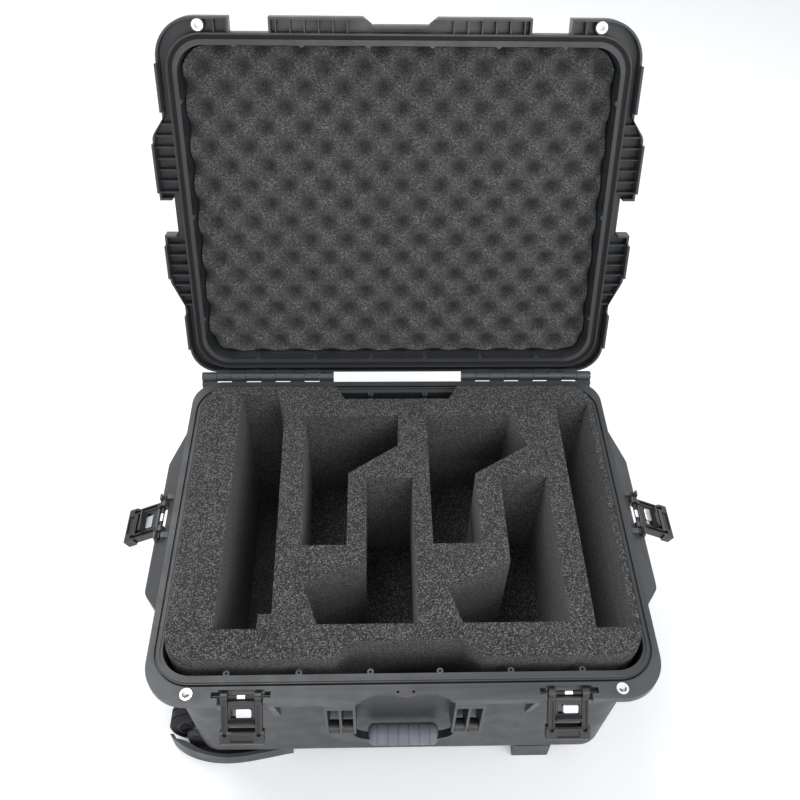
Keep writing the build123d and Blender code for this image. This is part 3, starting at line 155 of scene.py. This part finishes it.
class Surface:
    """A procedural material, built round one Principled shader."""

    def __init__(self, name, colour, roughness, metallic=0.0, specular=0.5):
        self.material = bpy.data.materials.new(name)
        self.material.use_nodes = True
        self.tree = self.material.node_tree
        self.shader = self.tree.nodes["Principled BSDF"]
        self.shader.inputs["Base Color"].default_value = (*colour, 1)
        self.shader.inputs["Roughness"].default_value = roughness
        self.shader.inputs["Metallic"].default_value = metallic
        self.shader.inputs["Specular IOR Level"].default_value = specular
        self.place = self.node("ShaderNodeTexCoord").outputs["Object"]
        self.colour = None
        self.height = None

    def node(self, kind, **values):
        made = self.tree.nodes.new(kind)
        for key, value in values.items():
            if key in made.inputs:
                made.inputs[key].default_value = value
            else:
                setattr(made, key, value)
        return made

    def link(self, source, target):
        self.tree.links.new(source, target)

    def calculate(self, operation, source, *numbers):
        """A math node with a linked first input and plain numbers after it."""
        made = self.node("ShaderNodeMath", operation=operation)
        self.link(source, made.inputs[0])
        for slot, number in enumerate(numbers, start=1):
            made.inputs[slot].default_value = number
        return made.outputs["Value"]

    def part_of(self, source, axis):
        """One coordinate of a vector."""
        made = self.node("ShaderNodeSeparateXYZ")
        self.link(source, made.inputs["Vector"])
        return made.outputs[axis]

    def noise(self, scale, detail, stretch=None):
        """Grey noise; scale is in waves per metre."""
        made = self.node("ShaderNodeTexNoise", Scale=scale, Detail=detail)
        place = self.place
        if stretch:
            mapping = self.node("ShaderNodeMapping", Scale=stretch)
            self.link(place, mapping.inputs["Vector"])
            place = mapping.outputs["Vector"]
        self.link(place, made.inputs["Vector"])
        return made.outputs["Fac"]

    def grains(self, scale):
        """A random grey level for each small cell; scale is in cells per metre."""
        made = self.node("ShaderNodeTexVoronoi", Scale=scale)
        self.link(self.place, made.inputs["Vector"])
        parts = self.node("ShaderNodeSeparateColor")
        self.link(made.outputs["Color"], parts.inputs["Color"])
        return parts.outputs["Red"]

    def ramp(self, source, start, end):
        """Grey levels between two (position, value) stops."""
        made = self.node("ShaderNodeValToRGB")
        for element, (position, value) in zip(made.color_ramp.elements, (start, end)):
            element.position = position
            element.color = (value, value, value, 1)
        self.link(source, made.inputs["Fac"])
        return made.outputs["Color"]

    def mix_colour(self, factor, colour):
        """Lays a colour over what is there, where factor is high."""
        made = self.node("ShaderNodeMix", data_type="RGBA")
        self.link(factor, made.inputs["Factor"])
        if self.colour is None:
            made.inputs["A"].default_value = self.shader.inputs["Base Color"].default_value
        else:
            self.link(self.colour, made.inputs["A"])
        made.inputs["B"].default_value = (*colour, 1)
        self.colour = made.outputs["Result"]
        self.link(self.colour, self.shader.inputs["Base Color"])

    def veil(self, source, start, end, colour):
        """Lays a colour over what is there; start and end pair a level of source with a share."""
        self.mix_colour(self.ramp(source, start, end), colour)

    def bump(self, source, strength, distance):
        """Adds relief; distance is its height in metres."""
        made = self.node("ShaderNodeBump", Strength=strength, Distance=distance)
        self.link(source, made.inputs["Height"])
        if self.height:
            self.link(self.height, made.inputs["Normal"])
        self.height = made.outputs["Normal"]
        self.link(self.height, self.shader.inputs["Normal"])

    def roughen(self, source, low, high):
        self.link(self.ramp(source, (0.3, low), (0.7, high)), self.shader.inputs["Roughness"])


def shade(colour, factor):
    return tuple(min(1.0, part * factor) for part in colour)


def joint_named(name):
    return next(joint for joint in frame["joints"] if joint["name"] == name)


def moulded(name, colour, roughness, grain=0.0011, relief=0.00012, edge_wear_and_highlight=2.2):
    """Moulded plastic: leather-like grain, faint clouds, dark flecks and paler edges, partly wear and
    partly painted highlight.
    """
    surface = Surface(name, colour, roughness)
    surface.veil(surface.noise(CLOUD_WAVES, 3.0), (0.35, 0.0), (0.7, 0.55), shade(colour, 1.35))
    surface.veil(surface.noise(FLECK_WAVES, 4.0), (0.56, 0.0), (0.72, 0.4), shade(colour, 0.7))
    edges = surface.node("ShaderNodeNewGeometry").outputs["Pointiness"]
    # Paler convex edges: partly wear, partly a painted highlight
    surface.veil(edges, (0.515, 0.0), (0.60, 0.65), shade(colour, edge_wear_and_highlight))
    surface.roughen(surface.noise(GLOSS_WAVES, 3.0), roughness - 0.06, roughness + 0.08)
    surface.bump(surface.noise(1.0 / grain, 2.0), 0.5, relief)
    return surface.material


def shade_steep_faces_and_show_plies(surface):
    """Paints shade on steep faces and draws the glued line between plies."""
    normal = surface.node("ShaderNodeNewGeometry").outputs["Normal"]
    steep = surface.calculate("ABSOLUTE", surface.part_of(normal, "Z"))
    # Painted shade, full on upright faces and gone where a face turns upwards
    surface.veil(steep, (0.1, 1.0), (0.6, 0.0), FOAM_STEEP_SHADE_COLOUR)
    height = surface.calculate("SUBTRACT", surface.part_of(surface.place, "Z"), FOAM_TOP)
    share = surface.calculate("WRAP", height, FOAM_PLY / 2, -FOAM_PLY / 2)
    line = surface.node("ShaderNodeMapRange")
    surface.link(surface.calculate("ABSOLUTE", share), line.inputs["Value"])
    line.inputs["From Min"].default_value = PLY_LINE_OUTSIDE
    line.inputs["From Max"].default_value = PLY_LINE_INSIDE
    surface.mix_colour(line.outputs["Result"], FOAM_PORE_COLOUR)


def foam(name, plies):
    """Open-cell foam with dark pores and pale specks, either cut from plies, with painted shade on steep
    faces, or waved, with painted shade in its pits.
    """
    surface = Surface(name, FOAM_COLOUR, 0.93, specular=0.25)
    surface.shader.inputs["Sheen Weight"].default_value = 0.12
    surface.shader.inputs["Sheen Roughness"].default_value = 0.6
    if plies:
        shade_steep_faces_and_show_plies(surface)
    grains = surface.grains(1.0 / FOAM_GRAIN)
    cells = surface.noise(1.0 / FOAM_CELL, 3.0)
    clouds = surface.noise(FOAM_CLOUD_WAVES, 3.0)
    surface.veil(clouds, (0.4, 0.0), (0.75, 0.5), shade(FOAM_COLOUR, 0.72))
    surface.veil(cells, (0.34, 0.5), (0.50, 0.0), FOAM_PORE_COLOUR)
    surface.veil(grains, (0.05, 0.75), (0.50, 0.0), FOAM_PORE_COLOUR)
    surface.veil(grains, (0.60, 0.0), (1.0, 0.85), FOAM_SPECK_COLOUR)
    if not plies:
        # Painted shade in the pits, darker where the face lies deeper
        depth = surface.node("ShaderNodeAttribute", attribute_name="pit_depth").outputs["Fac"]
        surface.veil(depth, (0.30, 0.0), (1.0, 0.6), CRATE_PIT_PAINTED_SHADE)
    surface.bump(cells, 0.7, FOAM_RELIEF)
    return surface.material


def metal(name, colour, roughness, brush=(1.0, 1.0, 1.0)):
    """Bare metal with fine polishing marks."""
    surface = Surface(name, colour, roughness, metallic=1.0)
    marks = surface.noise(POLISH_WAVES, 4.0, stretch=brush)
    surface.roughen(marks, roughness - 0.05, roughness + 0.12)
    surface.veil(surface.noise(TARNISH_WAVES, 3.0), (0.5, 0.0), (0.8, 0.5), shade(colour, 0.8))
    surface.bump(marks, 0.25, POLISH_RELIEF)
    return surface.material


def pin_steel(name):
    """Blackened steel, worn bright over the middle of each latch's pivot pin."""
    surface = Surface(name, DARK_STEEL_COLOUR, 0.32, metallic=0.9)
    for joint, axis in PIN_JOINTS:
        middle = abs(joint_named(joint)["pos_m"]["XYZ".index(axis)])
        reach = surface.calculate("ABSOLUTE", surface.part_of(surface.place, axis))
        away = surface.calculate("ABSOLUTE", surface.calculate("SUBTRACT", reach, middle))
        surface.mix_colour(surface.calculate("LESS_THAN", away, PIN_BARE_HALF), STEEL_COLOUR)
    surface.bump(surface.noise(POLISH_WAVES, 3.0), 0.2, POLISH_RELIEF)
    return surface.material


def rubber(name, colour, roughness, grain=0.0009, relief=0.0001):
    """Soft matt rubber with a dusty bloom."""
    surface = Surface(name, colour, roughness, specular=0.35)
    surface.veil(surface.noise(DUST_WAVES, 4.0), (0.45, 0.0), (0.75, 0.6), shade(colour, 1.3))
    surface.bump(surface.noise(1.0 / grain, 2.0), 0.6, relief)
    return surface.material


shell = moulded("shell_plastic", SHELL_COLOUR, roughness=0.46)
# The lid wears the shell's plastic darkened to 0.8, a painted shade
lid_plastic_painted_shade = moulded("lid_plastic_painted_shade", shade(SHELL_COLOUR, 0.80), roughness=0.36)
latch = moulded("latch_plastic", LATCH_COLOUR, roughness=0.34, grain=0.0008, relief=0.00006, edge_wear_and_highlight=3.2)
handle = moulded("handle_plastic", HANDLE_COLOUR, roughness=0.38, grain=0.0008, relief=0.00006, edge_wear_and_highlight=2.6)
hub = moulded("hub_plastic", HUB_COLOUR, roughness=0.5)
bush = moulded("bush_plastic", BUSH_COLOUR, roughness=0.45)
grip = rubber("grip_rubber", GRIP_COLOUR, roughness=0.62)
seal = rubber("seal_rubber", SEAL_COLOUR, roughness=0.7)
tyre = rubber("tyre_rubber", TYRE_COLOUR, roughness=0.78, grain=0.002, relief=0.0002)
steel = metal("bright_steel", STEEL_COLOUR, roughness=0.26)
pin_metal = pin_steel("pin_steel")
slide = metal("slide_metal", SLIDE_COLOUR, roughness=0.3, brush=(1.0, 8.0, 8.0))
tube = metal("tube_metal", TUBE_COLOUR, roughness=0.34, brush=(0.1, 8.0, 8.0))
cut_foam = foam("cut_foam", plies=True)
crate_foam = foam("crate_foam", plies=False)

# The first part of a name that fits settles the finish
FINISHES = (
    ("lid_shell", lid_plastic_painted_shade),
    ("base_shell", shell),
    ("fender", shell),
    ("eyelets", steel),
    ("claw_pin", pin_metal),
    ("latch_pins", pin_metal),
    ("pins", steel),
    ("axle", steel),
    ("gasket", seal),
    ("latch_slide", slide),
    ("latch_", latch),
    ("vent_cap", latch),
    ("handle_frame", handle),
    ("handle_grip", grip),
    ("tyre", tyre),
    ("hub", hub),
    ("bush", bush),
    ("tubes", tube),
    ("trolley", handle),
)

# Each soft piece of the tub with the solid it stands for
FOAM_PIECES = (
    ("foam_top", "base_foam_block"),
    ("foam_middle", "base_foam_middle"),
    ("foam_bottom", "base_foam_lower"),
    ("foam_floor", "base_foam_pad"),
)


def finish_of(name):
    return next((material for part, material in FINISHES if part in name), shell)


def wear_material(piece, material):
    piece.data.materials.clear()
    piece.data.materials.append(material)


def smooth_by_angle(piece, degrees):
    for polygon in piece.data.polygons:
        polygon.use_smooth = True
    piece.data.set_sharp_from_angle(angle=math.radians(degrees))


def place_mesh(name, mesh, body, material):
    piece = bpy.data.objects.new(name, mesh)
    bpy.context.scene.collection.objects.link(piece)
    wear_material(piece, material)
    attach(piece, body)
    return piece


def lid_turn():
    """Takes a point given with the lid closed to where the lid rests."""
    hinge = joint_named("lid_hinge")
    there = Matrix.Translation(hinge["pos_m"])
    turn = Matrix.Rotation(-math.radians(hinge["range_deg"][1]), 4, Vector(hinge["axis"]))
    return there @ turn @ there.inverted()


def is_sharp(edge):
    return edge.is_manifold and edge.calc_face_angle(0) > EDGE_ANGLE


def is_seam(edge):
    """Whether an edge lies where two stacks of foam meet."""
    low = FOAM_TOP - FOAM_PLY / 2
    heights = [vertex.co.z for vertex in edge.verts]
    return max(heights) < low and abs(heights[0] - heights[1]) < WELD


def swell_rim(shape):
    """Moves the sides and the back of the block's proud rim outwards."""
    for vertex in shape.verts:
        if vertex.co.z > RIM_HEIGHT + WELD:
            if abs(vertex.co.x) > RIM_SIDE:
                vertex.co.x += math.copysign(FOAM_SWELL.x, vertex.co.x)
            if vertex.co.y > RIM_BACK:
                vertex.co.y += FOAM_SWELL.y


def ease_edges(shape):
    """Rounds free edges well, and edges at a seam only a little."""
    for seams, offset, segments in ((False, FOAM_EDGE, 2), (True, FOAM_SEAM, 1)):
        sharp = [edge for edge in shape.edges if is_sharp(edge) and is_seam(edge) == seams]
        bmesh.ops.bevel(
            shape,
            geom=sharp,
            offset=offset,
            segments=segments,
            profile=EDGE_PROFILE,
            affect="EDGES",
            clamp_overlap=True,
        )


def softened_copy(name, node, body):
    """The node's solid with its facets joined and its edges eased, as knife-cut foam has."""
    mesh = nodes[node].data.copy()
    shape = bmesh.new()
    shape.from_mesh(mesh)
    bmesh.ops.remove_doubles(shape, verts=shape.verts, dist=WELD)
    bmesh.ops.dissolve_limit(shape, angle_limit=FLAT_ANGLE, verts=shape.verts, edges=shape.edges)
    swell_rim(shape)
    ease_edges(shape)
    bmesh.ops.triangulate(shape, faces=[face for face in shape.faces if len(face.verts) > 4])
    shape.to_mesh(mesh)
    shape.free()
    piece = place_mesh(name, mesh, body, cut_foam)
    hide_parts(node)
    smooth_by_angle(piece, BLOCK_SHARP)


def crate_depth(u, v):
    """How far below the peaks the egg-crate face lies at a point of the closed lid."""
    a = (u - CRATE_PIT.x) / CRATE_PITCH
    b = (v - CRATE_PIT.y) / (2 * CRATE_ROW)
    one = 0.5 + 0.5 * math.cos(2 * math.pi * (a + b))
    two = 0.5 + 0.5 * math.cos(2 * math.pi * (a - b))
    wave = ((one + two) / 2) ** CRATE_SHARPNESS
    rough = noise.noise(Vector((u, v, 0)) * CRATE_ROUGH_WAVES) * CRATE_ROUGHNESS
    return max(0.0, CRATE_DEPTH * wave + rough + CRATE_SINK)


def corner_cut(edge):
    """How much a row of the crate is shortened by its round corners, this far from its edge."""
    if edge >= CRATE_CORNER:
        return 0.0
    return CRATE_CORNER - math.sqrt(max(0.0, CRATE_CORNER**2 - (CRATE_CORNER - edge) ** 2))


def crate_face(shape, low, high):
    """The waved face of the egg-crate sheet, with each vertex's depth kept for the material."""
    columns = round((high.x - low.x) / CRATE_STEP)
    rows = round((high.y - low.y) / CRATE_STEP)
    middle = (low.x + high.x) / 2
    half = (high.x - low.x) / 2 - CRATE_MARGIN
    pit_depth = shape.verts.layers.float.new("pit_depth")
    grid = []
    for row in range(rows + 1):
        v = low.y + CRATE_MARGIN + (high.y - low.y - 2 * CRATE_MARGIN) * row / rows
        cut = corner_cut(min(v - low.y, high.y - v))
        line = []
        for column in range(columns + 1):
            u = middle + (half - cut) * (2 * column / columns - 1)
            depth = crate_depth(u, v)
            line.append(shape.verts.new((u, v, low.z + depth)))
            line[-1][pit_depth] = depth / CRATE_DEPTH
        grid.append(line)
    for near, far in zip(grid, grid[1:]):
        for column in range(columns):
            shape.faces.new((near[column], far[column], far[column + 1], near[column + 1]))


def crate_back(shape, low, high):
    """Walls and a flat back, a little smaller than the face."""
    middle_x = (low.x + high.x) / 2
    middle_y = (low.y + high.y) / 2
    rim = [edge for edge in shape.edges if edge.is_boundary]
    made = bmesh.ops.extrude_edge_only(shape, edges=rim)
    back = [item for item in made["geom"] if isinstance(item, bmesh.types.BMVert)]
    for vertex in back:
        vertex.co.z = high.z - CRATE_BACK_GAP
        vertex.co.x = middle_x + (vertex.co.x - middle_x) * CRATE_BACK_WIDTH
        vertex.co.y = middle_y + (vertex.co.y - middle_y) * CRATE_BACK_LENGTH
    bmesh.ops.contextual_create(shape, geom=[edge for edge in shape.edges if edge.is_boundary])
    bmesh.ops.recalc_face_normals(shape, faces=shape.faces)


def egg_crate():
    """Egg-crate sheet in the lid, modelled on the closed lid and turned with it."""
    back_turn = lid_turn().inverted()
    closed = [back_turn @ vertex.co for vertex in nodes["lid_foam"].data.vertices]
    low = Vector([min(point[axis] for point in closed) for axis in range(3)])
    high = Vector([max(point[axis] for point in closed) for axis in range(3)])
    shape = bmesh.new()
    crate_face(shape, low, high)
    crate_back(shape, low, high)
    shape.transform(lid_turn())
    mesh = bpy.data.meshes.new("lid_egg_foam")
    shape.to_mesh(mesh)
    shape.free()
    piece = place_mesh("lid_egg_foam", mesh, "lid", crate_foam)
    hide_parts("lid_foam")
    smooth_by_angle(piece, CRATE_SHARP)


def dress_nodes():
    for name, node in nodes.items():
        wear_material(node, finish_of(name))
        smooth_by_angle(node, CAD_SHARP)


def background_rays(tree):
    """1 for the rays that show the background: seen straight, in a gloss or through glass."""
    path = tree.nodes.new("ShaderNodeLightPath")
    shown = path.outputs["Is Camera Ray"]
    for rays in ("Is Glossy Ray", "Is Transmission Ray"):
        either = tree.nodes.new("ShaderNodeMath")
        either.operation = "MAXIMUM"
        tree.links.new(shown, either.inputs[0])
        tree.links.new(path.outputs[rays], either.inputs[1])
        shown = either.outputs["Value"]
    return shown


def background(tree, colour, strength):
    made = tree.nodes.new("ShaderNodeBackground")
    made.inputs["Color"].default_value = (*colour, 1)
    made.inputs["Strength"].default_value = strength
    return made.outputs["Background"]


def surroundings():
    """White where they are seen, and an even, dimmer light elsewhere."""
    world = bpy.context.scene.world or bpy.data.worlds.new("studio")
    bpy.context.scene.world = world
    world.use_nodes = True
    tree = world.node_tree
    tree.nodes.clear()
    output = tree.nodes.new("ShaderNodeOutputWorld")
    mix = tree.nodes.new("ShaderNodeMixShader")
    tree.links.new(background_rays(tree), mix.inputs["Fac"])
    tree.links.new(background(tree, WORLD_COLOUR, WORLD_LEVEL), mix.inputs[1])
    tree.links.new(background(tree, BACKGROUND_COLOUR, BACKGROUND_LEVEL), mix.inputs[2])
    tree.links.new(mix.outputs["Shader"], output.inputs["Surface"])


def paper_floor():
    """Pale paper, lifted a little where it is seen."""
    mesh = bpy.data.meshes.new("floor")
    half = FLOOR_SIZE / 2
    corners = [(-half, -half, 0), (half, -half, 0), (half, half, 0), (-half, half, 0)]
    mesh.from_pydata(corners, [], [(0, 1, 2, 3)])
    floor = bpy.data.objects.new("floor", mesh)
    bpy.context.scene.collection.objects.link(floor)
    paper = Surface("studio_paper", FLOOR_COLOUR, 0.85, specular=0.1)
    clouds = paper.noise(PAPER_WAVES, 2.0)
    paper.veil(clouds, (0.4, 0.0), (0.8, 0.3), shade(FLOOR_COLOUR, FLOOR_SHADE))
    glow = paper.calculate("MULTIPLY", background_rays(paper.tree), FLOOR_GLOW)
    paper.shader.inputs["Emission Color"].default_value = (*FLOOR_GLOW_COLOUR, 1)
    paper.link(glow, paper.shader.inputs["Emission Strength"])
    wear_material(floor, paper.material)


def soft_panels():
    for name, place, size, power in PANELS:
        data = bpy.data.lights.new(name, "AREA")
        data.shape = "DISK"
        data.size = size
        data.energy = power
        lamp = bpy.data.objects.new(name, data)
        lamp.location = place
        lamp.rotation_euler = (PANEL_TARGET - Vector(place)).to_track_quat("-Z", "Y").to_euler()
        bpy.context.scene.collection.objects.link(lamp)


def camera():
    """Camera at the solved place, with the solved turn and focal length."""
    data = bpy.data.cameras.new("camera")
    data.sensor_fit = "HORIZONTAL"
    data.sensor_width = SENSOR_WIDTH
    data.lens = CAMERA_FOCAL / PICTURE_WIDTH * SENSOR_WIDTH
    look = Vector(
        (
            math.sin(CAMERA_YAW) * math.cos(CAMERA_PITCH),
            math.cos(CAMERA_YAW) * math.cos(CAMERA_PITCH),
            -math.sin(CAMERA_PITCH),
        )
    )
    level = Vector((math.cos(CAMERA_YAW), -math.sin(CAMERA_YAW), 0))
    upright = level.cross(look)
    right = level * math.cos(CAMERA_ROLL) + upright * math.sin(CAMERA_ROLL)
    up = upright * math.cos(CAMERA_ROLL) - level * math.sin(CAMERA_ROLL)
    turn = Matrix((right, up, -look)).transposed().to_4x4()
    made = bpy.data.objects.new("camera", data)
    made.matrix_world = Matrix.Translation(CAMERA_PLACE) @ turn
    bpy.context.scene.collection.objects.link(made)
    bpy.context.scene.camera = made


dress_nodes()
for name, node in FOAM_PIECES:
    softened_copy(name, node, "base")
egg_crate()
surroundings()
paper_floor()
soft_panels()
camera()
bpy.context.scene.view_settings.view_transform = "Standard"
